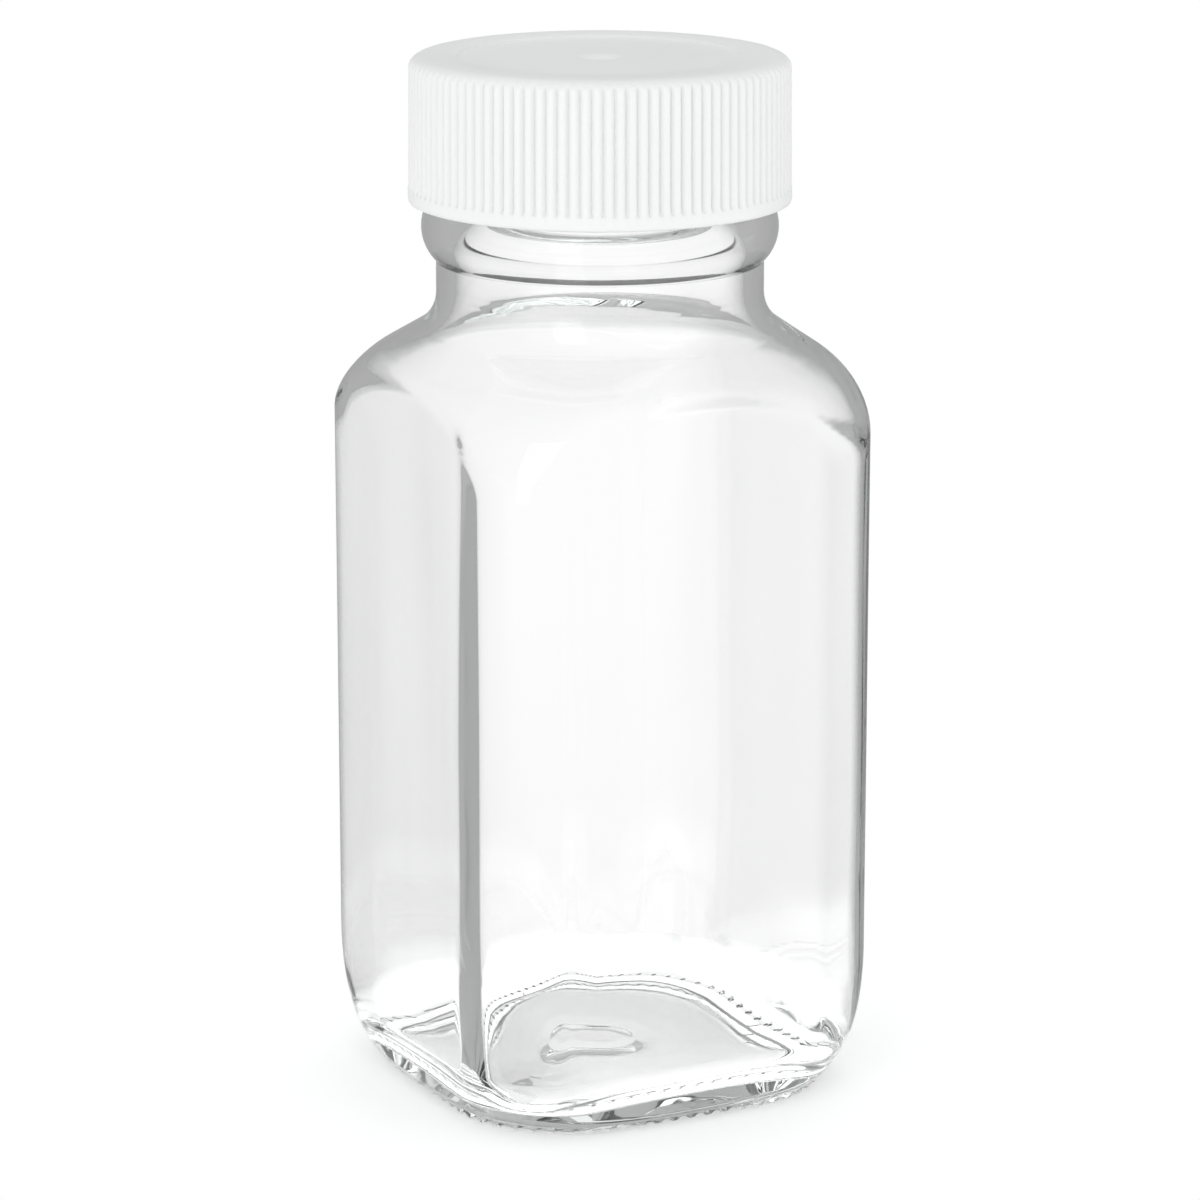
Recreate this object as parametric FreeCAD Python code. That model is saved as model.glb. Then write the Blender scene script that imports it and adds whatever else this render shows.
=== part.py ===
import FreeCAD, Part
import math
import os

from FreeCAD import Vector

# French square bottle in clear glass with a ribbed white screw cap.
# Millimetres. The origin is the middle of the base, on the surface it stands on.
# +Z runs up the neck, and the four panels face along X and Y.

# Square body
body_width = 54.8
corner_radius = 12.6
wall = 2.4
panel_top = 78.5

# Heel, where the panels curve in to the base
heel_height = 18.0
heel_radius = 100.0
foot_radius = 1.8
corner_trim_radius = 27.0
corner_trim_height = 12.0

# Base
floor_thickness = 3.2
floor_bevel = 3.0
floor_rise = 1.5
bearing_corner_radius = 15.5
bearing_width = 4.2
push_up_height = 2.2
push_up_sphere = 200.0
base_ring_radius = 4.0
base_ring_width = 0.9
base_ring_height = 0.35

# Grip ridges under the bearing ring
ridge_pitch = 2.35
ridge_height = 0.85
ridge_root = 1.7
ridge_tip = 0.8
ridge_length = 2.4
ridge_setback = 0.2

# Shoulder, a dome that each panel runs into
dome_overreach = 0.4
shoulder_radius = 14.8
shoulder_slope = 30.0
arch_fillet = 8.0

# Neck and transfer bead
neck_radius = 19.75
neck_fillet = 5.0
neck_length = 3.9
bead_height = 8.0
bead_reach = 1.75

# Threaded finish under the cap
finish_height = 14.0
lip_chamfer = 0.6
thread_pitch = 4.233
thread_turns = 1.35
thread_reach = 1.1
thread_foot = 2.3
thread_crest = 0.9
thread_top_gap = 2.2
thread_fade_turns = 0.12
thread_end_share = 0.1

# Closed cap
liner_thickness = 1.0
liner_gap = 0.3
cap_top_thickness = 1.5
cap_wall = 1.75
cap_rim_gap = 3.0
cap_clearance = 0.45
cap_thread_turns = 1.25
cap_thread_reach = 0.75
cap_thread_foot = 1.4
cap_thread_crest = 0.6
cap_draft = 0.15
cap_edge_width = 1.9
cap_edge_height = 1.3
cap_edge_ease_width = 0.95
cap_edge_ease_height = 0.33
rib_count = 105
rib_depth = 0.4
rib_setback = 0.1
groove_share = 0.42
rim_band = 1.7
top_collar = 1.5
top_disc_radius = 17.1
top_disc_depth = 0.2
gate_radius = 2.7
gate_depth = 0.5

# Modelling values
root_sink = 0.5
ridge_sink = 0.3
overrun = 1.0
stations_per_turn = 18

# Heights that follow from the sizes above
half_width = body_width / 2
slope_turn = math.radians(90 - shoulder_slope)


def corner_reach(half, radius):
    """Distance from the axis to the middle of a rounded corner."""
    return (half - radius) * math.sqrt(2) + radius


dome_radius = corner_reach(half_width, corner_radius) + dome_overreach
dome_rim = dome_radius - shoulder_radius * (1 - math.cos(slope_turn))
neck_rim = neck_radius + neck_fillet * (1 - math.cos(slope_turn))
slope_rise = (dome_rim - neck_rim) / math.tan(slope_turn)
neck_base = panel_top + (shoulder_radius + neck_fillet) * math.sin(slope_turn) + slope_rise
bead_base = neck_base + neck_length
bead_top = bead_base + bead_height
lip_height = bead_top + finish_height
bore_radius = neck_radius - wall
thread_radius = neck_radius + thread_reach
thread_top = lip_height - thread_top_gap
cap_thread_top = thread_top - thread_pitch / 2

liner_top = lip_height + liner_thickness
cap_top = liner_top + cap_top_thickness
cap_bore = thread_radius + cap_clearance
cap_radius = cap_bore + cap_wall
cap_rim = bead_base + bead_height / 2 + cap_rim_gap
liner_radius = cap_bore - liner_gap

foot_rise = heel_height - ridge_height - foot_radius
foot_offset = math.sqrt((heel_radius - foot_radius) ** 2 - foot_rise ** 2)
bearing_half = half_width - heel_radius + foot_offset


def rounded_square(half, radius, height):
    """Closed wire of four corner arcs joined by straight sides."""
    centre = half - radius
    corners = [(centre, centre), (-centre, centre), (-centre, -centre), (centre, -centre)]
    edges = []
    for index, (x, y) in enumerate(corners):
        start = index * math.pi / 2
        angles = [start, start + math.pi / 4, start + math.pi / 2]
        arc = [Vector(x + radius * math.cos(a), y + radius * math.sin(a), height) for a in angles]
        edges.append(Part.Arc(*arc).toShape())
        next_x, next_y = corners[(index + 1) % 4]
        end = Vector(next_x + radius * math.cos(angles[2]), next_y + radius * math.sin(angles[2]), height)
        edges.append(Part.LineSegment(arc[2], end).toShape())
    return Part.Wire(edges)


def square_prism(half, radius, bottom, top):
    face = Part.Face(rounded_square(half, radius, bottom))
    return face.extrude(Vector(0, 0, top - bottom))


def turned(edges):
    """Solid of revolution about the bottle's axis from a closed profile in the XZ plane."""
    wire = Part.Wire([edge.toShape() for edge in edges])
    return Part.Face(wire).revolve(Vector(0, 0, 0), Vector(0, 0, 1), 360)


def on_arc(centre, radius, angle):
    return centre + Vector(radius * math.cos(angle), 0, radius * math.sin(angle))


dome_centre = Vector(dome_radius - shoulder_radius, 0, panel_top)
neck_centre = Vector(neck_radius + neck_fillet, 0, neck_base)


def dome_and_neck(bottom, top):
    """Turned shoulder and neck."""
    foot = Vector(dome_radius, 0, bottom)
    spring = Vector(dome_radius, 0, panel_top)
    dome_end = on_arc(dome_centre, shoulder_radius, slope_turn)
    neck_start = on_arc(neck_centre, neck_fillet, math.pi + slope_turn)
    neck_end = Vector(neck_radius, 0, neck_base)
    rim = Vector(neck_radius, 0, top)
    return turned([
        Part.LineSegment(Vector(0, 0, bottom), foot),
        Part.LineSegment(foot, spring),
        Part.Arc(spring, on_arc(dome_centre, shoulder_radius, slope_turn / 2), dome_end),
        Part.LineSegment(dome_end, neck_start),
        Part.Arc(neck_start, on_arc(neck_centre, neck_fillet, math.pi + slope_turn / 2), neck_end),
        Part.LineSegment(neck_end, rim),
        Part.LineSegment(rim, Vector(0, 0, top)),
        Part.LineSegment(Vector(0, 0, top), Vector(0, 0, bottom)),
    ])


def turned_profile(heights_and_radii):
    """Solid turned from its outside profile, given as pairs of height and radius from the bottom up."""
    outside = [Vector(radius, 0, height) for height, radius in heights_and_radii]
    bottom = Vector(0, 0, outside[0].z)
    top = Vector(0, 0, outside[-1].z)
    points = [bottom] + outside + [top]
    return turned([Part.LineSegment(a, b) for a, b in zip(points, points[1:] + points[:1])])


def arch_edges(solid):
    """Edges where the turned dome cuts the flat and round sides of the square body."""
    neck_start = neck_base - neck_fillet * math.sin(slope_turn)
    found = []
    for edge in solid.Edges:
        faces = solid.ancestorsOfType(edge, Part.Face)
        sides = [face.Surface.TypeId in ("Part::GeomPlane", "Part::GeomCylinder") for face in faces]
        if any(sides) and not all(sides) and edge.BoundBox.ZMax < neck_start:
            found.append(edge)
    return found


def bottle_form(bottom, top):
    """Square body that arches into the shoulder and neck."""
    prism = square_prism(half_width, corner_radius, bottom, top)
    form = prism.common(dome_and_neck(bottom - overrun, top + overrun))
    return form.makeFillet(arch_fillet, arch_edges(form))


def heel_profile():
    """Half section of a corner's foot, measured from the corner's own axis."""
    big = Vector(corner_radius - heel_radius, 0, heel_height)
    small = Vector(big.x + foot_offset, 0, ridge_height + foot_radius)
    join_angle = math.atan2(small.z - big.z, small.x - big.x)
    centre = Vector(0, 0, ridge_height)
    bearing = Vector(small.x, 0, ridge_height)
    join = on_arc(small, foot_radius, join_angle)
    top = Vector(corner_radius, 0, heel_height)
    middle = Vector(0, 0, heel_height)
    return Part.Face(Part.Wire([edge.toShape() for edge in (
        Part.LineSegment(centre, bearing),
        Part.Arc(bearing, on_arc(small, foot_radius, (join_angle - math.pi / 2) / 2), join),
        Part.Arc(join, on_arc(big, heel_radius, join_angle / 2), top),
        Part.LineSegment(top, middle),
        Part.LineSegment(middle, centre),
    )]))


def corner_trim():
    """Turned form that rounds the corners of the foot inwards towards the base."""
    depth = dome_radius - corner_trim_radius
    curve = (corner_trim_height ** 2 + depth ** 2) / (2 * depth)
    centre = Vector(dome_radius - curve, 0, corner_trim_height)
    lean = math.asin(corner_trim_height / curve)
    low = Vector(corner_trim_radius, 0, 0)
    high = Vector(dome_radius, 0, corner_trim_height)
    rim = Vector(dome_radius, 0, heel_height + overrun)
    axis_top = Vector(0, 0, heel_height + overrun)
    return turned([
        Part.LineSegment(Vector(0, 0, 0), low),
        Part.Arc(low, on_arc(centre, curve, -lean / 2), high),
        Part.LineSegment(high, rim),
        Part.LineSegment(rim, axis_top),
        Part.LineSegment(axis_top, Vector(0, 0, 0)),
    ])


def heel():
    """Foot of the body, its section turned at each corner and drawn along each side."""
    profile = heel_profile()
    centre = half_width - corner_radius
    corner = profile.revolve(Vector(0, 0, 0), Vector(0, 0, 1), 90)
    side = profile.extrude(Vector(0, -2 * centre, 0))
    core_base = Vector(-centre, -centre, ridge_height)
    core = Part.makeBox(2 * centre, 2 * centre, heel_height - ridge_height, core_base)
    pieces = []
    for quarter in range(4):
        for piece in (corner, side):
            placed = piece.copy()
            placed.translate(Vector(centre, centre, 0))
            placed.rotate(Vector(0, 0, 0), Vector(0, 0, 1), 90 * quarter)
            pieces.append(placed)
    return core.multiFuse(pieces).removeSplitter().common(corner_trim())


def transfer_bead():
    """Round bead between neck and finish, that the cap's rim stops just above."""
    middle = bead_base + bead_height / 2
    bottom = Vector(neck_radius, 0, bead_base)
    top = Vector(neck_radius, 0, bead_top)
    crest = Vector(neck_radius + bead_reach, 0, middle)
    inner_bottom = Vector(bore_radius, 0, bead_base)
    inner_top = Vector(bore_radius, 0, bead_top)
    return turned([
        Part.Arc(bottom, crest, top),
        Part.LineSegment(top, inner_top),
        Part.LineSegment(inner_top, inner_bottom),
        Part.LineSegment(inner_bottom, bottom),
    ])


def thread_section(root, crest, foot_width, crest_width, angle, height):
    """Four-sided thread profile in the half-plane at the angle."""
    direction = Vector(math.cos(angle), math.sin(angle), 0)
    rise = Vector(0, 0, 1)
    corners = [
        direction * root + rise * (height - foot_width / 2),
        direction * crest + rise * (height - crest_width / 2),
        direction * crest + rise * (height + crest_width / 2),
        direction * root + rise * (height + foot_width / 2),
    ]
    return Part.makePolygon(corners + [corners[0]])


def thread(wall_radius, reach, sink, foot_width, crest_width, top_height, turns):
    """Right-hand helical ridge that fades into its wall at both ends."""
    stations = round(turns * stations_per_turn)
    flank = (foot_width - crest_width) / 2 / abs(reach)
    sections = []
    for index in range(stations + 1):
        turn = turns * index / stations
        fade = min(1.0, turn / thread_fade_turns, (turns - turn) / thread_fade_turns)
        stand = reach * max(fade, thread_end_share)
        crest = wall_radius + stand
        root = wall_radius - sink
        foot = crest_width + 2 * flank * abs(crest - root)
        angle = 2 * math.pi * turn
        height = top_height - thread_pitch * (turns - turn)
        sections.append(thread_section(root, crest, foot, crest_width, angle, height))
    return Part.makeLoft(sections, True, True)


def outline_walk(half, radius, pitch):
    """Evenly spaced points and outward directions round a rounded square."""
    side = 2 * (half - radius)
    corner = radius * math.pi / 2
    length = 4 * (side + corner)
    count = round(length / pitch)
    places = []
    for index in range(count):
        run = length * index / count
        quarter = int(run // (side + corner))
        run -= quarter * (side + corner)
        turn = quarter * math.pi / 2
        if run < side:
            point = Vector(half, run - side / 2, 0)
            angle = 0.0
        else:
            angle = (run - side) / radius
            centre = Vector(half - radius, half - radius, 0)
            point = centre + Vector(math.cos(angle), math.sin(angle), 0) * radius
        spin = FreeCAD.Rotation(Vector(0, 0, 1), math.degrees(turn))
        places.append((spin.multVec(point), math.degrees(turn + angle)))
    return places


def grip_ridges():
    """Short bars that stand under the bearing ring, with a plain band inside them."""
    inner_half = bearing_half - bearing_width
    inner_radius = bearing_corner_radius - bearing_width
    bar_half = bearing_half - ridge_setback
    bar_radius = bearing_corner_radius - ridge_setback
    band_half = bar_half - ridge_length
    band_radius = bar_radius - ridge_length
    band = square_prism(band_half, band_radius, 0, ridge_height)
    band = band.cut(square_prism(inner_half, inner_radius, 0, ridge_height))
    profile = Part.Face(Part.makePolygon([
        Vector(0, -ridge_tip / 2, 0),
        Vector(0, ridge_tip / 2, 0),
        Vector(0, ridge_root / 2, ridge_height),
        Vector(0, -ridge_root / 2, ridge_height),
        Vector(0, -ridge_tip / 2, 0),
    ]))
    bar = profile.extrude(Vector(-ridge_length - ridge_sink, 0, 0))
    bars = []
    for point, angle in outline_walk(bar_half, bar_radius, ridge_pitch):
        placed = bar.copy()
        placed.rotate(Vector(0, 0, 0), Vector(0, 0, 1), angle)
        placed.translate(point)
        bars.append(placed)
    return band.multiFuse(bars)


def shallow_dome(radius, height):
    """Large sphere whose top is at the height, with its poles to the sides."""
    return Part.makeSphere(radius, Vector(0, 0, height - radius), Vector(1, 0, 0))


def push_up():
    """Shallow domed recess inside the bearing ring."""
    inner_half = bearing_half - bearing_width
    inner_radius = bearing_corner_radius - bearing_width
    recess = square_prism(inner_half, inner_radius, -overrun, push_up_height + overrun)
    return recess.common(shallow_dome(push_up_sphere, push_up_height))


def base_ring():
    """Low plain ring moulded on the underside of the base."""
    height = push_up_height - base_ring_height
    ring = Part.makeCylinder(base_ring_radius, base_ring_height + overrun, Vector(0, 0, height))
    inner = base_ring_radius - base_ring_width
    return ring.cut(Part.makeCylinder(inner, base_ring_height + overrun, Vector(0, 0, height)))


def cavity():
    """Inside of the bottle, open through the neck, with plain cones inside the shoulder's curves."""
    prism = square_prism(half_width - wall, corner_radius - wall, floor_thickness, lip_height + overrun)
    dome_middle = on_arc(dome_centre, shoulder_radius - wall, slope_turn / 2)
    neck_middle = on_arc(neck_centre, neck_fillet + wall, math.pi + slope_turn / 2)
    form = prism.common(turned_profile([
        (0, dome_radius - wall),
        (panel_top, dome_radius - wall),
        (dome_middle.z, dome_middle.x),
        (neck_middle.z, neck_middle.x),
        (neck_base, bore_radius),
        (lip_height + 2 * overrun, bore_radius),
    ]))
    low = floor_thickness + floor_bevel / 2
    form = form.makeChamfer(floor_bevel, [edge for edge in form.Edges if edge.BoundBox.ZMax < low])
    rise_reach = half_width - wall - floor_bevel
    rise_sphere = (rise_reach ** 2 + floor_rise ** 2) / (2 * floor_rise)
    return form.cut(shallow_dome(rise_sphere, floor_thickness + floor_rise))


def lip_edges(glass):
    """The two circles of the lip's flat land."""
    return [edge for edge in glass.Edges if edge.BoundBox.ZMin > lip_height - lip_chamfer / 2]


def bottle():
    """One piece of blown glass."""
    glass = heel().fuse(bottle_form(heel_height, lip_height))
    glass = glass.fuse(transfer_bead())
    glass = glass.cut(cavity())
    glass = glass.makeChamfer(lip_chamfer, lip_edges(glass))
    ridge = thread(
        neck_radius, thread_reach, root_sink, thread_foot, thread_crest, thread_top, thread_turns)
    glass = glass.fuse(ridge)
    glass = glass.fuse(grip_ridges())
    glass = glass.cut(push_up())
    return glass.fuse(base_ring())


def rib_outline(radius, height):
    """Closed polygon of grip ribs with flat-bottomed grooves between them."""
    pitch = 2 * math.pi / rib_count
    half_groove = pitch * groove_share / 2
    points = []
    for index in range(rib_count):
        middle = pitch * index
        for reach, angle in (
            (radius, middle - half_groove),
            (radius - rib_depth, middle - half_groove / 2),
            (radius - rib_depth, middle + half_groove / 2),
            (radius, middle + half_groove),
        ):
            points.append(Vector(reach * math.cos(angle), reach * math.sin(angle), height))
    return Part.makePolygon(points + [points[0]])


def skirt_radius(height):
    """Outside radius of the cap's drafted skirt."""
    return cap_radius - cap_draft * (height - cap_rim) / (cap_top - cap_rim)


def cap():
    """Moulded screw cap with grip ribs, a plain rim band and an inside thread."""
    band_top = cap_rim + rim_band
    collar_base = cap_top - top_collar
    edge_base = cap_top - cap_edge_height
    ribs = Part.makeLoft([
        rib_outline(skirt_radius(height) - rib_setback, height) for height in (band_top, collar_base)
    ], True, True)
    band = turned_profile([(cap_rim, skirt_radius(cap_rim)), (band_top, skirt_radius(band_top))])
    shoulder = skirt_radius(edge_base)
    collar = turned_profile([
        (collar_base, skirt_radius(collar_base)),
        (edge_base, shoulder),
        (cap_top - cap_edge_ease_height, shoulder - cap_edge_ease_width),
        (cap_top, shoulder - cap_edge_width),
    ])
    body = ribs.fuse(band).fuse(collar)
    bore = Part.makeCylinder(cap_bore, liner_top - cap_rim + overrun, Vector(0, 0, cap_rim - overrun))
    body = body.cut(bore)
    disc_floor = cap_top - top_disc_depth
    body = body.cut(Part.makeCylinder(top_disc_radius, cap_top, Vector(0, 0, disc_floor)))
    gate_sphere = (gate_radius ** 2 + gate_depth ** 2) / (2 * gate_depth)
    gate_centre = Vector(0, 0, disc_floor - gate_depth + gate_sphere)
    body = body.cut(Part.makeSphere(gate_sphere, gate_centre, Vector(1, 0, 0)))
    ridge = thread(
        cap_bore, -cap_thread_reach, -root_sink, cap_thread_foot, cap_thread_crest,
        cap_thread_top, cap_thread_turns)
    return body.fuse(ridge)


def cap_liner():
    """Foam disc that the lip seals against."""
    return Part.makeCylinder(liner_radius, liner_thickness, Vector(0, 0, lip_height), Vector(0, 0, 1))


os.makedirs("parts", exist_ok=True)
bottle().exportStep("parts/bottle.step")
cap().exportStep("parts/cap.step")
cap_liner().exportStep("parts/cap_liner.step")
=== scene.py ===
import math
from collections import namedtuple

import bmesh
import bpy
from mathutils import Matrix, Vector, noise


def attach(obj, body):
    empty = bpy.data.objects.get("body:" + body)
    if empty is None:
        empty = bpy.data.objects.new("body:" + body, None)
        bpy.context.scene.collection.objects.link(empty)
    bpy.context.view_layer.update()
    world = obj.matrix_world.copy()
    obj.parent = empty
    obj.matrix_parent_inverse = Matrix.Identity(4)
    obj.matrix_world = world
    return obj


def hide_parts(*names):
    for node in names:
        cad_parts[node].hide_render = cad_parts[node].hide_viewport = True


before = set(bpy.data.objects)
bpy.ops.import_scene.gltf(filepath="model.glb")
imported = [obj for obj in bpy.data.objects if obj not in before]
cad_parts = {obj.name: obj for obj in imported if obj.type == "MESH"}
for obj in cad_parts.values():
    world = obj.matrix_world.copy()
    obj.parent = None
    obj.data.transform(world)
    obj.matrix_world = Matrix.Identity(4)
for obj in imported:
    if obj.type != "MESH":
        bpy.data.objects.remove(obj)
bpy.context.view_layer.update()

# French square bottle in clear glass with a ribbed white screw cap.
# Lengths are in millimetres and become metres when a piece is finished.
MM = 0.001

# Glass body
BODY_HALF = 27.4
CORNER_RADIUS = 12.6
WALL = 2.4
INNER_CORNER_RADIUS = 7.8
INNER_CORNER_SWELL = 0.8
PANEL_TOP = 78.5
HEEL_HEIGHT = 18.0
HEEL_RADIUS = 100.0
FOOT_RADIUS = 1.8
CORNER_TRIM_RADIUS = 27.0
CORNER_TRIM_HEIGHT = 12.0
CORNER_TRIM_BLEND = 5.0
RIDGE_HEIGHT = 0.85
RIDGE_PITCH = 2.35
RIDGE_NOTCH = 0.5
RIDGE_LENGTH = 1.3
RIDGE_SETBACK = 0.2
BEARING_CORNER_RADIUS = 15.5
BEARING_WIDTH = 4.2
PUSH_UP = 2.2
PUSH_UP_SPHERE = 200.0
BASE_RING_RADIUS = 4.0
BASE_RING_WIDTH = 0.9
BASE_RING_HEIGHT = 0.07
BASE_RING_SLOPE = 0.2
BASE_ROWS = (7, 11, 15)
BEARING_EDGE_RADIUS = 0.25
FOOT_START = -math.pi / 2 + 0.12
FLOOR = 3.2
FLOOR_FILLET = 4.5
FLOOR_RISE = 1.5
FLOOR_ROWS = (16, 12.5, 9, 6, 3, 0)
SKIN_SINK = 0.06

# Unevenness of the blown wall, and the share of it that each stretch shows
TALL_WAVE = 0.16
TALL_WAVE_ACROSS = 9
TALL_WAVE_UP = 60
BROAD_WAVE = 0.3
BROAD_WAVE_ACROSS = 22
BROAD_WAVE_UP = 26
BROAD_WAVE_SHIFT = 7
WAVE_CENTRE = 12
SKIN_WAVE = 0.14
FINISH_WAVE = 0.1
NECK_WAVE = 0.15
NECK_FILLET_WAVE = 0.3
SHOULDER_WAVE_LOSS = 0.7

# Shoulder, neck and finish
DOME_OVERREACH = 0.4
SHOULDER_RADIUS = 14.8
SHOULDER_TURN = math.radians(60)
ARCH_FILLET = 8.0
NECK_RADIUS = 19.75
NECK_FILLET = 5.0
NECK_LENGTH = 3.9
BEAD_HEIGHT = 8.0
BEAD_REACH = 1.75
BEAD_SEAM = 0.15
FINISH_HEIGHT = 14.0
LIP_ROUND = 0.6
THREAD_PITCH = 4.233
THREAD_TURNS = 1.35
THREAD_REACH = 1.1
THREAD_FOOT = 2.3
THREAD_CREST = 0.9
THREAD_TOP_GAP = 2.2
THREAD_FADE = 0.12

# Cap
LINER = 1.0
CAP_TOP_WALL = 1.5
CAP_WALL = 1.75
CAP_RIM_GAP = 3.0
CAP_CLEARANCE = 0.45
CAP_DRAFT = 0.15
CAP_EDGE = 1.9
CAP_EDGE_HEIGHT = 1.3
RIBS = 105
RIB_DEPTH = 0.5
GROOVE_SHARE = 0.58
RIM_BAND = 1.7
DISC_RADIUS = 17.1
DISC_DEPTH = 0.32
DISC_ROWS = (3.1, 8, 13, DISC_RADIUS - 0.25)
GATE_RADIUS = 2.7
GATE_DEPTH = 0.7
GATE_ROWS = (0, 0.8, 1.5, 2.1, GATE_RADIUS)
RIB_CROWN = 0.12
RIB_SINK = 0.04
RIM_ROUND = 0.4
RIM_EDGE = 0.3
CAP_INSIDE_ROWS = (14, 7, 0)
CAP_THREAD_TURNS = 1.25
CAP_THREAD_REACH = 0.75
CAP_THREAD_FOOT = 1.4
CAP_THREAD_CREST = 0.6
CAP_THREAD_ROOT = 0.4
CAP_THREAD_STEPS = 90
CAP_SHARP_ANGLE = 50

# Studio levels, where 1 is white
FILL_LEVEL = 0.9
ROOM_LEVEL = 0.45
FRONT_LEVEL = 0.97
FLOOR_GLOW = 0.34
FLOOR_GLOW_THROUGH = 0.85

# Studio floor and key lamp, in metres and watts
FLOOR_RADIUS = 4.0
FADE_START = 0.03
FADE_END = 0.06
KEY_PLACE = (-0.8, -0.68, 0.45)
KEY_TARGET = (0, 0, 0.07)
KEY_WIDTH = 0.4
KEY_HEIGHT = 1.1
KEY_POWER = 1.0

# A thin glass corner traps light for many turns before it lets it out
LIGHT_BOUNCES = 32
MIRROR_BOUNCES = 26
GLASS_BOUNCES = 24

# How finely the pieces are divided
COLUMNS_PER_RIDGE = 6
COLUMNS_PER_RIB = 8
FOOT_STEPS = 9
HEEL_STEPS = 10
PANEL_STEPS = 14
SHOULDER_STEPS = 18
NECK_FILLET_STEPS = 7
NECK_STEPS = 4
BEAD_STEPS = 16
FINISH_STEPS = 30
LIP_STEPS = 3
INNER_FINISH_STEPS = 4
INNER_NECK_STEPS = 12
INNER_FILLET_STEPS = 8
INNER_PANEL_STEPS = 26
FLOOR_FILLET_STEPS = 9
CAP_EDGE_STEPS = 8
CAP_SKIRT_STEPS = 6

# Places that follow from the sizes
CORNER_CENTRE = BODY_HALF - CORNER_RADIUS
DOME_RADIUS = CORNER_CENTRE * math.sqrt(2) + CORNER_RADIUS + DOME_OVERREACH
DOME_CENTRE = DOME_RADIUS - SHOULDER_RADIUS
NECK_CENTRE = NECK_RADIUS + NECK_FILLET
DOME_RIM = DOME_CENTRE + SHOULDER_RADIUS * math.cos(SHOULDER_TURN)
NECK_RIM = NECK_CENTRE - NECK_FILLET * math.cos(SHOULDER_TURN)
SLOPE_RISE = (DOME_RIM - NECK_RIM) / math.tan(SHOULDER_TURN)
NECK_BASE = PANEL_TOP + (SHOULDER_RADIUS + NECK_FILLET) * math.sin(SHOULDER_TURN) + SLOPE_RISE
BEAD_BASE = NECK_BASE + NECK_LENGTH
BEAD_MIDDLE = BEAD_BASE + BEAD_HEIGHT / 2
LIP = BEAD_BASE + BEAD_HEIGHT + FINISH_HEIGHT
THREAD_TOP = LIP - THREAD_TOP_GAP
CAP_BORE = NECK_RADIUS + THREAD_REACH + CAP_CLEARANCE
CAP_RADIUS = CAP_BORE + CAP_WALL
CAP_RIM = BEAD_MIDDLE + CAP_RIM_GAP
LINER_TOP = LIP + LINER
CAP_TOP = LINER_TOP + CAP_TOP_WALL
FOOT_OFFSET = math.sqrt((HEEL_RADIUS - FOOT_RADIUS) ** 2 - (HEEL_HEIGHT - RIDGE_HEIGHT - FOOT_RADIUS) ** 2)
BEARING_INSET = HEEL_RADIUS - FOOT_OFFSET
BEARING_HALF = BODY_HALF - BEARING_INSET
TRIM_DEPTH = DOME_RADIUS - CORNER_TRIM_RADIUS
TRIM_CURVE = (CORNER_TRIM_HEIGHT ** 2 + TRIM_DEPTH ** 2) / (2 * TRIM_DEPTH)
NO_LIMIT = 60.0
SEAM_GAP = 1e-4

# One row of a wall: radius it may reach, height, how far inside the square outline it runs,
# how softly the two meet, how much of each surface feature it carries, and its own corner radius
# where that isn't the body's.
Row = namedtuple("Row", "radius height inset blend ridge thread wave corner", defaults=(0, 0, 0, 0, 0, None))


def spread(start, end, count):
    """Even steps from one value to another, with both ends."""
    return [start + (end - start) * i / count for i in range(count + 1)]


def ease(value):
    """Smooth step from 0 to 1."""
    value = min(1.0, max(0.0, value))
    return value * value * (3 - 2 * value)


def finish_piece(bm, name, material, body, nodes, sharp=None):
    """Turns millimetres into metres and hands the mesh over as a finished piece."""
    bmesh.ops.scale(bm, vec=(MM, MM, MM), verts=bm.verts)
    mesh = bpy.data.meshes.new(name)
    bm.to_mesh(mesh)
    bm.free()
    for face in mesh.polygons:
        face.use_smooth = True
    if sharp:
        mesh.set_sharp_from_angle(angle=math.radians(sharp))
    piece = bpy.data.objects.new(name, mesh)
    bpy.context.scene.collection.objects.link(piece)
    mesh.materials.append(material)
    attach(piece, body)
    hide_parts(*nodes)
    return piece


def spin_rows(rows, steps):
    """Spins a profile of rows into a closed wall, a quarter at a time.
    Each vertex keeps the number of its row."""
    bm = bmesh.new()
    layer = bm.verts.layers.int.new("row")
    verts = []
    for index, row in enumerate(rows):
        vert = bm.verts.new((max(row.radius, 0), 0, row.height))
        vert[layer] = index
        verts.append(vert)
    edges = [bm.edges.new(pair) for pair in zip(verts, verts[1:])]
    bmesh.ops.spin(
        bm, geom=verts + edges, cent=(0, 0, 0), axis=(0, 0, 1), dvec=(0, 0, 0),
        angle=math.pi / 2, steps=steps // 4, use_merge=False, use_normal_flip=False, use_duplicate=False)
    quarter = bm.verts[:] + bm.edges[:] + bm.faces[:]
    for turn in (1, 2, 3):
        copy = bmesh.ops.duplicate(bm, geom=quarter)["geom"]
        moved = [item for item in copy if isinstance(item, bmesh.types.BMVert)]
        bmesh.ops.rotate(bm, cent=(0, 0, 0), matrix=Matrix.Rotation(turn * math.pi / 2, 3, "Z"), verts=moved)
    seams = [vert for vert in bm.verts if min(abs(vert.co.x), abs(vert.co.y)) < SEAM_GAP]
    bmesh.ops.remove_doubles(bm, verts=seams, dist=SEAM_GAP)
    return bm, layer


def outline_reach(angle, half, radius):
    """Distance from the axis to a square with rounded corners."""
    across = abs(math.cos(angle))
    along = abs(math.sin(angle))
    if along > across:
        across, along = along, across
    centre = half - radius
    if half * along <= centre * across:
        return half / across
    middle = centre * (across + along)
    return middle + math.sqrt(middle ** 2 - 2 * centre ** 2 + radius ** 2)


def row_reach(row, angle):
    """Distance from the axis to a row's own outline."""
    corner = CORNER_RADIUS - row.inset if row.corner is None else row.corner
    return outline_reach(angle, BODY_HALF - row.inset, corner)


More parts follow.
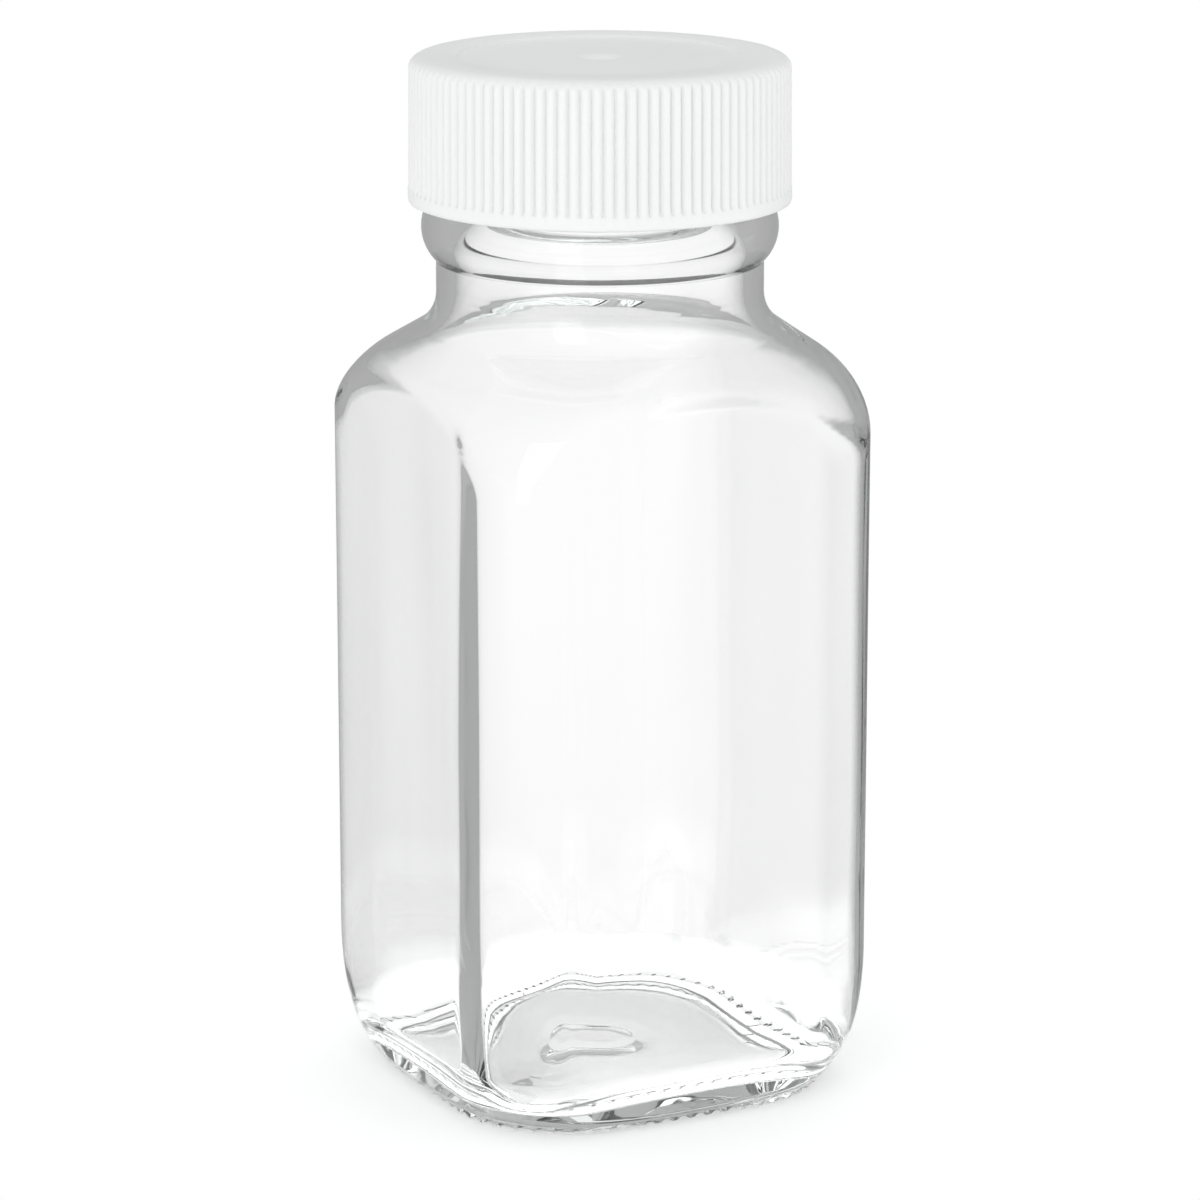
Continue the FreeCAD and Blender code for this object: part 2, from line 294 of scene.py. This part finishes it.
def even_directions(columns, half, radius):
    """Directions of evenly spaced points round a square with rounded corners."""
    centre = half - radius
    quarter = 2 * centre + radius * math.pi / 2
    directions = []
    for index in range(columns):
        turns, run = divmod(4 * quarter * index / columns, quarter)
        if run < centre:
            angle = math.atan2(run, half)
        elif run < centre + radius * math.pi / 2:
            turn = (run - centre) / radius
            angle = math.atan2(centre + radius * math.sin(turn), centre + radius * math.cos(turn))
        else:
            angle = math.atan2(half, quarter - run)
        directions.append(angle + turns * math.pi / 2)
    return directions


def trimmed(height):
    """Radius that the corners of the foot may reach at a height."""
    if height >= CORNER_TRIM_HEIGHT:
        return DOME_RADIUS
    below = CORNER_TRIM_HEIGHT - height
    return DOME_RADIUS - TRIM_CURVE + math.sqrt(TRIM_CURVE ** 2 - below ** 2)


def helix_stand(angle, height, top, turns, foot, crest):
    """How far a helical thread stands out at a place on its wall, from 0 to 1."""
    stand = 0.0
    for wrap in range(math.ceil(turns) + 1):
        turn = angle / (2 * math.pi) + wrap
        if turn <= turns:
            off = abs(height - (top - THREAD_PITCH * (turns - turn)))
            fade = min(1.0, turn / THREAD_FADE, (turns - turn) / THREAD_FADE)
            stand = max(stand, ease((foot / 2 - off) / (foot / 2 - crest / 2)) * ease(fade))
    return stand


def arch_blend(turn):
    """How softly the dome meets the panels at a turn of the shoulder."""
    return 4 * ARCH_FILLET * (1 / math.cos(turn / 2) - 1) / math.cos(turn / 2)


def outer_rows():
    """Outside of the glass, from the middle of the base up to the lip."""
    rows = [Row(r, PUSH_UP, CORNER_RADIUS / 2) for r in (0, 1.5, BASE_RING_RADIUS - BASE_RING_WIDTH)]
    ring = PUSH_UP - BASE_RING_HEIGHT
    rows.append(Row(BASE_RING_RADIUS - BASE_RING_WIDTH + BASE_RING_SLOPE, ring, CORNER_RADIUS / 2))
    rows.append(Row(BASE_RING_RADIUS - BASE_RING_SLOPE, ring, CORNER_RADIUS / 2))
    for radius in (BASE_RING_RADIUS, *BASE_ROWS):
        rows.append(Row(radius, PUSH_UP - radius ** 2 / (2 * PUSH_UP_SPHERE), CORNER_RADIUS / 2))
    inner = BEARING_INSET + BEARING_WIDTH
    edge = PUSH_UP - (BODY_HALF - inner) ** 2 / (2 * PUSH_UP_SPHERE)
    bar_outer = BEARING_INSET + RIDGE_SETBACK
    bar_inner = bar_outer + RIDGE_LENGTH
    for height, inset, ridge in (
            (edge + 0.05, inner + 1.0, 0), (edge - 0.1, inner + BEARING_EDGE_RADIUS, 0),
            (edge - 0.5, inner + 0.05, 0), (0.2, inner - 0.05, 0),
            (0, inner - BEARING_EDGE_RADIUS, 0), (0, bar_inner, 0), (0, bar_inner - 0.3, 1),
            (0, (bar_inner + bar_outer) / 2, 1), (0.02, bar_outer + 0.35, 1), (0.16, bar_outer, 0.8)):
        corner = BEARING_CORNER_RADIUS - (inset - BEARING_INSET)
        rows.append(Row(NO_LIMIT, height, inset, ridge=ridge, corner=corner))
    lowest = RIDGE_HEIGHT + FOOT_RADIUS
    join = math.atan2(lowest - HEEL_HEIGHT, FOOT_OFFSET)
    for turn in spread(FOOT_START, join, FOOT_STEPS):
        height = lowest + FOOT_RADIUS * math.sin(turn)
        sunk = BEARING_INSET - FOOT_RADIUS * math.cos(turn)
        rows.append(Row(trimmed(height), height, sunk, CORNER_TRIM_BLEND))
    for turn in spread(join, 0, HEEL_STEPS)[1:]:
        height = HEEL_HEIGHT + HEEL_RADIUS * math.sin(turn)
        sunk = HEEL_RADIUS * (1 - math.cos(turn))
        share = 1 - turn / join
        blend = CORNER_TRIM_BLEND * (1 - share)
        rows.append(Row(trimmed(height), height, sunk + SKIN_SINK * share, blend, wave=SKIN_WAVE * share))
    for height in spread(HEEL_HEIGHT, PANEL_TOP, PANEL_STEPS)[1:]:
        rows.append(Row(NO_LIMIT, height, SKIN_SINK, wave=SKIN_WAVE))
    for turn in spread(0, SHOULDER_TURN, SHOULDER_STEPS)[1:]:
        soft = arch_blend(turn)
        radius = DOME_CENTRE + SHOULDER_RADIUS * math.cos(turn) - SKIN_SINK
        height = PANEL_TOP + SHOULDER_RADIUS * math.sin(turn)
        rows.append(Row(radius, height, SKIN_SINK, soft, wave=SKIN_WAVE))
    for turn in spread(SHOULDER_TURN, 0, NECK_FILLET_STEPS):
        radius = NECK_CENTRE - NECK_FILLET * math.cos(turn)
        rows.append(Row(radius, NECK_BASE - NECK_FILLET * math.sin(turn)))
    for height in spread(NECK_BASE, BEAD_BASE - BEAD_SEAM, NECK_STEPS)[1:]:
        rows.append(Row(NECK_RADIUS, height))
    half = BEAD_HEIGHT / 2
    round_off = (half ** 2 + BEAD_REACH ** 2) / (2 * BEAD_REACH)
    swing = math.asin(half / round_off)
    for turn in spread(-swing, swing, BEAD_STEPS):
        reach = NECK_RADIUS + BEAD_REACH - round_off * (1 - math.cos(turn))
        rows.append(Row(reach, BEAD_MIDDLE + round_off * math.sin(turn)))
    for height in spread(BEAD_MIDDLE + half, LIP - LIP_ROUND, FINISH_STEPS)[1:]:
        rows.append(Row(NECK_RADIUS, height, thread=1))
    for turn in spread(0, math.pi / 2, LIP_STEPS)[1:]:
        radius = NECK_RADIUS - LIP_ROUND * (1 - math.cos(turn))
        rows.append(Row(radius, LIP - LIP_ROUND * (1 - math.sin(turn))))
    return rows


def inner_rows():
    """Inside of the glass, from the lip down to the middle of the floor."""
    bore = NECK_RADIUS - WALL
    bead_top = BEAD_MIDDLE + BEAD_HEIGHT / 2
    rows = []
    for turn in spread(math.pi / 2, 0, LIP_STEPS):
        rows.append(Row(bore + LIP_ROUND * (1 - math.cos(turn)), LIP - LIP_ROUND * (1 - math.sin(turn))))
    for height in spread(LIP - LIP_ROUND, bead_top, INNER_FINISH_STEPS)[1:]:
        rows.append(Row(bore, height, WALL, wave=FINISH_WAVE))
    for height in spread(bead_top, NECK_BASE, INNER_NECK_STEPS)[1:]:
        rows.append(Row(bore, height, WALL, wave=NECK_WAVE))
    concave = NECK_FILLET + WALL
    for turn in spread(0, SHOULDER_TURN, INNER_FILLET_STEPS)[1:]:
        radius = NECK_CENTRE - concave * math.cos(turn)
        rows.append(Row(radius, NECK_BASE - concave * math.sin(turn), WALL, wave=NECK_FILLET_WAVE))
    convex = SHOULDER_RADIUS - WALL
    for turn in spread(SHOULDER_TURN, 0, SHOULDER_STEPS):
        soft = arch_blend(turn)
        swell = 1 - ease(turn / SHOULDER_TURN * 2)
        calm = 1 - SHOULDER_WAVE_LOSS * turn / SHOULDER_TURN
        corner = INNER_CORNER_RADIUS + (CORNER_RADIUS - WALL - INNER_CORNER_RADIUS) * (1 - swell)
        radius = DOME_CENTRE + convex * math.cos(turn) + INNER_CORNER_SWELL * swell
        rows.append(Row(radius, PANEL_TOP + convex * math.sin(turn), WALL, soft, wave=calm, corner=corner))
    floor_top = FLOOR + FLOOR_FILLET
    for height in spread(PANEL_TOP, floor_top, INNER_PANEL_STEPS)[1:]:
        rows.append(Row(NO_LIMIT, height, WALL, wave=1, corner=INNER_CORNER_RADIUS))
    for turn in spread(0, math.pi / 2, FLOOR_FILLET_STEPS)[1:]:
        sunk = FLOOR_FILLET * (1 - math.cos(turn))
        height = floor_top - FLOOR_FILLET * math.sin(turn)
        rows.append(Row(NO_LIMIT, height, WALL + sunk, wave=1, corner=INNER_CORNER_RADIUS - sunk))
    flat = BODY_HALF - WALL - FLOOR_FILLET
    for radius in FLOOR_ROWS:
        rows.append(Row(radius, FLOOR + FLOOR_RISE * (1 - (radius / flat) ** 2), WALL + FLOOR_FILLET, wave=1))
    return rows


def soft_least(a, b, blend):
    """The smaller of two distances, rounded over where they are close."""
    if blend <= 0:
        return min(a, b)
    near = max(blend - abs(a - b), 0) / blend
    return min(a, b) - near * near * blend / 4


def glass_wave(place):
    """Slow unevenness of a blown wall, in millimetres."""
    tall = noise.noise(Vector((
        place.x / TALL_WAVE_ACROSS, place.y / TALL_WAVE_ACROSS, place.z / TALL_WAVE_UP)))
    broad = noise.noise(Vector((
        place.x / BROAD_WAVE_ACROSS + BROAD_WAVE_SHIFT, place.y / BROAD_WAVE_ACROSS,
        place.z / BROAD_WAVE_UP)))
    return TALL_WAVE * tall + BROAD_WAVE * broad


def place_round(reach, angle, height):
    """Place at a distance and a direction from the axis."""
    return Vector((reach * math.cos(angle), reach * math.sin(angle), height))


def glass_body(material):
    """Bottle in one closed skin: outside, lip, inside, floor."""
    half = BEARING_HALF - RIDGE_SETBACK
    radius = BEARING_CORNER_RADIUS - RIDGE_SETBACK
    quarter = 2 * (half - radius) + radius * math.pi / 2
    columns = 4 * round(quarter / RIDGE_PITCH) * COLUMNS_PER_RIDGE
    directions = even_directions(columns, half, radius)
    rows = outer_rows() + inner_rows()
    bm, layer = spin_rows(rows, columns)
    for vert in bm.verts:
        row = rows[vert[layer]]
        if row.radius <= 0:
            vert.co = (0, 0, row.height)
            continue
        column = round(math.atan2(vert.co.y, vert.co.x) / (2 * math.pi) * columns) % columns
        angle = directions[column]
        reach = soft_least(row.radius, row_reach(row, angle), row.blend)
        height = row.height
        if row.ridge:
            phase = column % COLUMNS_PER_RIDGE / COLUMNS_PER_RIDGE
            height += RIDGE_NOTCH * row.ridge * ease(0.5 - 0.5 * math.cos(2 * math.pi * phase))
        if row.thread:
            reach += THREAD_REACH * helix_stand(
                angle, height, THREAD_TOP, THREAD_TURNS, THREAD_FOOT, THREAD_CREST)
        if row.wave:
            wave = glass_wave(place_round(reach, angle, height))
            reach += row.wave * wave * min(1.0, reach / WAVE_CENTRE)
        vert.co = place_round(reach, angle, height)
    bmesh.ops.recalc_face_normals(bm, faces=bm.faces)
    return finish_piece(bm, "glass_body", material, "glass", ["bottle"])


def cap_rows():
    """Cap from the middle of its top, down the ribbed skirt, round the rim and up the bore."""
    floor = CAP_TOP - DISC_DEPTH
    rows = []
    for radius in GATE_ROWS:
        rows.append(Row(radius, floor - GATE_DEPTH * (1 - (radius / GATE_RADIUS) ** 2)))
    rows += [Row(radius, floor) for radius in DISC_ROWS]
    rows.append(Row(DISC_RADIUS - 0.06, floor + 0.04))
    rows.append(Row(DISC_RADIUS + 0.02, CAP_TOP - 0.05))
    rows.append(Row(DISC_RADIUS + 0.2, CAP_TOP))
    shoulder = CAP_RADIUS - CAP_DRAFT
    rows.append(Row(shoulder - CAP_EDGE - 0.5, CAP_TOP))
    for turn in spread(math.pi / 2, 0, CAP_EDGE_STEPS)[:-1]:
        radius = shoulder - CAP_EDGE * (1 - math.cos(turn))
        height = CAP_TOP - CAP_EDGE_HEIGHT * (1 - math.sin(turn))
        rows.append(Row(radius, height, ridge=ease((CAP_TOP - height - 0.2) / 1.1)))
    band_top = CAP_RIM + RIM_BAND
    for height in spread(CAP_TOP - CAP_EDGE_HEIGHT, band_top + 0.7, CAP_SKIRT_STEPS):
        rows.append(Row(CAP_RADIUS - CAP_DRAFT * (height - CAP_RIM) / (CAP_TOP - CAP_RIM), height, ridge=1))
    rows.append(Row(CAP_RADIUS, band_top + 0.35, ridge=0.85))
    rows.append(Row(CAP_RADIUS, band_top + 0.1, ridge=0.35))
    rows.append(Row(CAP_RADIUS, band_top - 0.05))
    rows.append(Row(CAP_RADIUS, CAP_RIM + RIM_ROUND))
    rows.append(Row(CAP_RADIUS - 0.1, CAP_RIM + 0.12))
    rows.append(Row(CAP_RADIUS - RIM_ROUND, CAP_RIM))
    rows.append(Row(CAP_BORE + RIM_EDGE, CAP_RIM))
    rows.append(Row(CAP_BORE, CAP_RIM + RIM_EDGE))
    rows.append(Row(CAP_BORE, LINER_TOP - RIM_ROUND))
    rows.append(Row(CAP_BORE - RIM_ROUND, LINER_TOP))
    rows += [Row(radius, LINER_TOP) for radius in CAP_INSIDE_ROWS]
    return rows


def add_cap_thread(bm):
    """Helical ridge on the cap's bore, swept up a quarter turn more than once round."""
    steps = CAP_THREAD_STEPS
    foot = CAP_THREAD_FOOT / 2 + CAP_THREAD_ROOT / 2
    root = CAP_BORE + CAP_THREAD_ROOT
    crest = CAP_BORE - CAP_THREAD_REACH
    section = [
        (root, -foot), (crest, -CAP_THREAD_CREST / 2), (crest, CAP_THREAD_CREST / 2), (root, foot)]
    start = THREAD_TOP - THREAD_PITCH * (CAP_THREAD_TURNS + 0.5)
    verts = [bm.verts.new((radius, 0, start + rise)) for radius, rise in section]
    face = bm.faces.new(verts)
    bmesh.ops.spin(
        bm, geom=[face], cent=(0, 0, 0), axis=(0, 0, 1),
        dvec=(0, 0, THREAD_PITCH * CAP_THREAD_TURNS / steps),
        angle=2 * math.pi * CAP_THREAD_TURNS, steps=steps, use_merge=False, use_normal_flip=False,
        use_duplicate=False)


def screw_cap(material):
    """Ribbed cap with its inside thread."""
    rows = cap_rows()
    columns = RIBS * COLUMNS_PER_RIB
    bm, layer = spin_rows(rows, columns)
    for vert in bm.verts:
        row = rows[vert[layer]]
        if row.ridge:
            angle = math.atan2(vert.co.y, vert.co.x)
            phase = angle / (2 * math.pi) * RIBS % 1.0
            across = min(phase, 1 - phase) / (GROOVE_SHARE / 2)
            groove = 0.5 + 0.5 * math.cos(math.pi * min(across, 1.0))
            crown = RIB_CROWN * (2 * abs(phase - 0.5)) ** 2
            pulled = (RIB_DEPTH * groove + crown * RIB_DEPTH) * row.ridge
            radius = row.radius - RIB_SINK - pulled
            vert.co.x = radius * math.cos(angle)
            vert.co.y = radius * math.sin(angle)
    bmesh.ops.recalc_face_normals(bm, faces=bm.faces)
    add_cap_thread(bm)
    return finish_piece(bm, "screw_cap", material, "cap", ["cap"], CAP_SHARP_ANGLE)


def shader(name):
    """New material, its nodes, its links and its main shader."""
    material = bpy.data.materials.new(name)
    material.use_nodes = True
    tree = material.node_tree
    return material, tree.nodes, tree.links, tree.nodes["Principled BSDF"]


def object_noise(nodes, links, scale, detail=2.0, stretch=(1, 1, 1)):
    """Noise on Object coordinates, stretched along the axes."""
    place = nodes.new("ShaderNodeTexCoord")
    mapping = nodes.new("ShaderNodeMapping")
    mapping.inputs["Scale"].default_value = stretch
    pattern = nodes.new("ShaderNodeTexNoise")
    pattern.inputs["Scale"].default_value = scale
    pattern.inputs["Detail"].default_value = detail
    links.new(place.outputs["Object"], mapping.inputs["Vector"])
    links.new(mapping.outputs["Vector"], pattern.inputs["Vector"])
    return pattern


def remap(nodes, links, source, low, high, start=0.0, end=1.0):
    """Map Range from one span to another."""
    node = nodes.new("ShaderNodeMapRange")
    node.inputs["From Min"].default_value = start
    node.inputs["From Max"].default_value = end
    node.inputs["To Min"].default_value = low
    node.inputs["To Max"].default_value = high
    links.new(source, node.inputs["Value"])
    return node.outputs["Result"]


def clear_glass():
    """Soda-lime glass: clear, faintly green in its thick parts, with fine waves in its skin and painted shade
    on its grazing edges.
    """
    material, nodes, links, main = shader("clear_glass")
    main.inputs["Base Color"].default_value = (1, 1, 1, 1)
    main.inputs["Roughness"].default_value = 0.0
    main.inputs["IOR"].default_value = 1.52
    main.inputs["Transmission Weight"].default_value = 1.0
    # Painted shade: the glass colour goes grey where its surface is seen edge-on, so edges and corners render
    # darker whatever lights them.
    facing = nodes.new("ShaderNodeLayerWeight")
    facing.inputs["Blend"].default_value = 0.5
    edge = nodes.new("ShaderNodeValToRGB")
    edge.color_ramp.elements[0].position = 0.5
    edge.color_ramp.elements[0].color = (1, 1, 1, 1)
    edge.color_ramp.elements[1].position = 0.95
    edge.color_ramp.elements[1].color = (0.46, 0.48, 0.47, 1)
    links.new(facing.outputs["Facing"], edge.inputs["Fac"])
    links.new(edge.outputs["Color"], main.inputs["Base Color"])
    waves = object_noise(nodes, links, 70, 1.5, (1, 1, 0.35))
    bump = nodes.new("ShaderNodeBump")
    bump.inputs["Strength"].default_value = 0.05
    bump.inputs["Distance"].default_value = 0.001
    links.new(waves.outputs["Fac"], bump.inputs["Height"])
    links.new(bump.outputs["Normal"], main.inputs["Normal"])
    depth = nodes.new("ShaderNodeVolumeAbsorption")
    depth.inputs["Color"].default_value = (0.70, 0.76, 0.73, 1)
    depth.inputs["Density"].default_value = 9.0
    links.new(depth.outputs["Volume"], nodes["Material Output"].inputs["Volume"])
    return material


def cap_plastic():
    """White moulded polypropylene with a soft sheen and fine texture."""
    material, nodes, links, main = shader("cap_plastic")
    tone = object_noise(nodes, links, 45, 3)
    ramp = nodes.new("ShaderNodeValToRGB")
    ramp.color_ramp.elements[0].color = (0.865, 0.868, 0.862, 1)
    ramp.color_ramp.elements[1].color = (0.90, 0.898, 0.890, 1)
    links.new(tone.outputs["Fac"], ramp.inputs["Fac"])
    links.new(ramp.outputs["Color"], main.inputs["Base Color"])
    links.new(remap(nodes, links, tone.outputs["Fac"], 0.32, 0.46), main.inputs["Roughness"])
    main.inputs["IOR"].default_value = 1.49
    main.inputs["Subsurface Weight"].default_value = 0.15
    main.inputs["Subsurface Radius"].default_value = (0.002, 0.002, 0.002)
    grain = object_noise(nodes, links, 2600, 3)
    bump = nodes.new("ShaderNodeBump")
    bump.inputs["Strength"].default_value = 0.12
    bump.inputs["Distance"].default_value = 0.0001
    links.new(grain.outputs["Fac"], bump.inputs["Height"])
    links.new(bump.outputs["Normal"], main.inputs["Normal"])
    return material


def liner_foam():
    """White closed-cell foam facing."""
    material, nodes, links, main = shader("liner_foam")
    place = nodes.new("ShaderNodeTexCoord")
    cells = nodes.new("ShaderNodeTexVoronoi")
    cells.inputs["Scale"].default_value = 1800
    links.new(place.outputs["Object"], cells.inputs["Vector"])
    ramp = nodes.new("ShaderNodeValToRGB")
    ramp.color_ramp.elements[0].color = (0.86, 0.86, 0.84, 1)
    ramp.color_ramp.elements[1].color = (0.78, 0.78, 0.76, 1)
    links.new(cells.outputs["Distance"], ramp.inputs["Fac"])
    links.new(ramp.outputs["Color"], main.inputs["Base Color"])
    main.inputs["Roughness"].default_value = 0.8
    bump = nodes.new("ShaderNodeBump")
    bump.inputs["Strength"].default_value = 0.4
    bump.inputs["Distance"].default_value = 0.0002
    links.new(cells.outputs["Distance"], bump.inputs["Height"])
    links.new(bump.outputs["Normal"], main.inputs["Normal"])
    return material


def surround(nodes, links, sideways):
    """White that the lens and the glass see, and a room that is dimmer behind than in front
    in what they mirror. Gives the level and the mask of the rays that show it."""
    path = nodes.new("ShaderNodeLightPath")
    first = nodes.new("ShaderNodeMath")
    first.operation = "MAXIMUM"
    links.new(path.outputs["Is Camera Ray"], first.inputs[0])
    links.new(path.outputs["Is Transmission Ray"], first.inputs[1])
    shown = nodes.new("ShaderNodeMath")
    shown.operation = "MAXIMUM"
    links.new(first.outputs["Value"], shown.inputs[0])
    links.new(path.outputs["Is Glossy Ray"], shown.inputs[1])
    mirrored = nodes.new("ShaderNodeMath")
    mirrored.operation = "MINIMUM"
    mirrored.inputs[1].default_value = 1.0
    links.new(path.outputs["Glossy Depth"], mirrored.inputs[0])
    level = nodes.new("ShaderNodeMix")
    level.inputs["A"].default_value = 1.0
    links.new(mirrored.outputs["Value"], level.inputs["Factor"])
    links.new(remap(nodes, links, sideways, ROOM_LEVEL, FRONT_LEVEL), level.inputs["B"])
    return level.outputs["Result"], shown.outputs["Value"]


def forward(nodes, links, coordinates, start, end):
    """How far a place or a direction lies to the front, from 0 to 1."""
    parts = nodes.new("ShaderNodeSeparateXYZ")
    links.new(coordinates, parts.inputs["Vector"])
    return remap(nodes, links, parts.outputs["Y"], 0, 1, start, end)


def studio_world():
    """Even white surround that the glass shows, with a weaker fill for the light itself."""
    world = bpy.data.worlds.new("studio")
    bpy.context.scene.world = world
    world.use_nodes = True
    nodes = world.node_tree.nodes
    links = world.node_tree.links
    fill = nodes["Background"]
    fill.inputs["Color"].default_value = (0.98, 0.99, 1, 1)
    fill.inputs["Strength"].default_value = FILL_LEVEL
    backdrop = nodes.new("ShaderNodeBackground")
    backdrop.inputs["Color"].default_value = (1, 1, 1, 1)
    mix = nodes.new("ShaderNodeMixShader")
    direction = nodes.new("ShaderNodeTexCoord").outputs["Generated"]
    level, shown = surround(nodes, links, forward(nodes, links, direction, 0.1, -0.6))
    links.new(level, backdrop.inputs["Strength"])
    links.new(shown, mix.inputs["Fac"])
    links.new(fill.outputs["Background"], mix.inputs[1])
    links.new(backdrop.outputs["Background"], mix.inputs[2])
    links.new(mix.outputs["Shader"], nodes["World Output"].inputs["Surface"])


def studio_floor():
    """Pale floor that keeps the bottle's shadow and runs out to white."""
    bm = bmesh.new()
    bmesh.ops.create_circle(bm, cap_ends=True, segments=96, radius=FLOOR_RADIUS)
    mesh = bpy.data.meshes.new("studio_floor")
    bm.to_mesh(mesh)
    bm.free()
    floor = bpy.data.objects.new("studio_floor", mesh)
    bpy.context.scene.collection.objects.link(floor)
    material, nodes, links, main = shader("studio_floor")
    mesh.materials.append(material)
    main.inputs["Base Color"].default_value = (0.9, 0.9, 0.9, 1)
    main.inputs["Roughness"].default_value = 0.9
    main.inputs["Specular IOR Level"].default_value = 0.0
    main.inputs["Emission Color"].default_value = (1, 1, 1, 1)
    white = nodes.new("ShaderNodeEmission")
    place = nodes.new("ShaderNodeTexCoord").outputs["Object"]
    distance = nodes.new("ShaderNodeVectorMath")
    distance.operation = "LENGTH"
    links.new(place, distance.inputs[0])
    away = remap(nodes, links, distance.outputs["Value"], 0, 1, FADE_START, FADE_END)
    level, shown = surround(nodes, links, forward(nodes, links, place, 0.0, -0.15))
    links.new(level, white.inputs["Strength"])
    through = nodes.new("ShaderNodeLightPath").outputs["Is Transmission Ray"]
    links.new(remap(nodes, links, through, FLOOR_GLOW, FLOOR_GLOW_THROUGH), main.inputs["Emission Strength"])
    product = nodes.new("ShaderNodeMath")
    product.operation = "MULTIPLY"
    links.new(away, product.inputs[0])
    links.new(shown, product.inputs[1])
    mix = nodes.new("ShaderNodeMixShader")
    links.new(product.outputs["Value"], mix.inputs["Fac"])
    links.new(main.outputs["BSDF"], mix.inputs[1])
    links.new(white.outputs["Emission"], mix.inputs[2])
    links.new(mix.outputs["Shader"], nodes["Material Output"].inputs["Surface"])


def softbox(name, place, target, width, height, power):
    """Rectangular lamp that faces the target."""
    lamp = bpy.data.lights.new(name, "AREA")
    lamp.shape = "RECTANGLE"
    lamp.size = width
    lamp.size_y = height
    lamp.energy = power
    holder = bpy.data.objects.new(name, lamp)
    bpy.context.scene.collection.objects.link(holder)
    away = Vector(place) - Vector(target)
    holder.matrix_world = Matrix.Translation(place) @ away.to_track_quat("Z", "Y").to_matrix().to_4x4()


def photo_camera():
    """Camera at the photograph's viewpoint, aimed at the middle of the bottle."""
    turn = math.radians(27.5)
    distance = 0.603
    height = 0.2118
    pitch = math.radians(14.18)
    camera = bpy.data.cameras.new("camera")
    camera.lens = 152.4
    camera.sensor_width = 36.0
    holder = bpy.data.objects.new("camera", camera)
    bpy.context.scene.collection.objects.link(holder)
    place = Vector((-math.sin(turn) * distance, -math.cos(turn) * distance, height))
    sight = Vector((math.sin(turn) * math.cos(pitch), math.cos(turn) * math.cos(pitch), -math.sin(pitch)))
    holder.matrix_world = Matrix.Translation(place) @ (-sight).to_track_quat("Z", "Y").to_matrix().to_4x4()
    bpy.context.scene.camera = holder


glass_body(clear_glass())
screw_cap(cap_plastic())
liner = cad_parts["cap_liner"]
liner.data.materials.clear()
liner.data.materials.append(liner_foam())

bpy.context.scene.view_settings.view_transform = "Standard"
studio_world()
studio_floor()
photo_camera()
softbox("key", KEY_PLACE, KEY_TARGET, KEY_WIDTH, KEY_HEIGHT, KEY_POWER)
bpy.context.scene.cycles.max_bounces = LIGHT_BOUNCES
bpy.context.scene.cycles.glossy_bounces = MIRROR_BOUNCES
bpy.context.scene.cycles.transmission_bounces = GLASS_BOUNCES
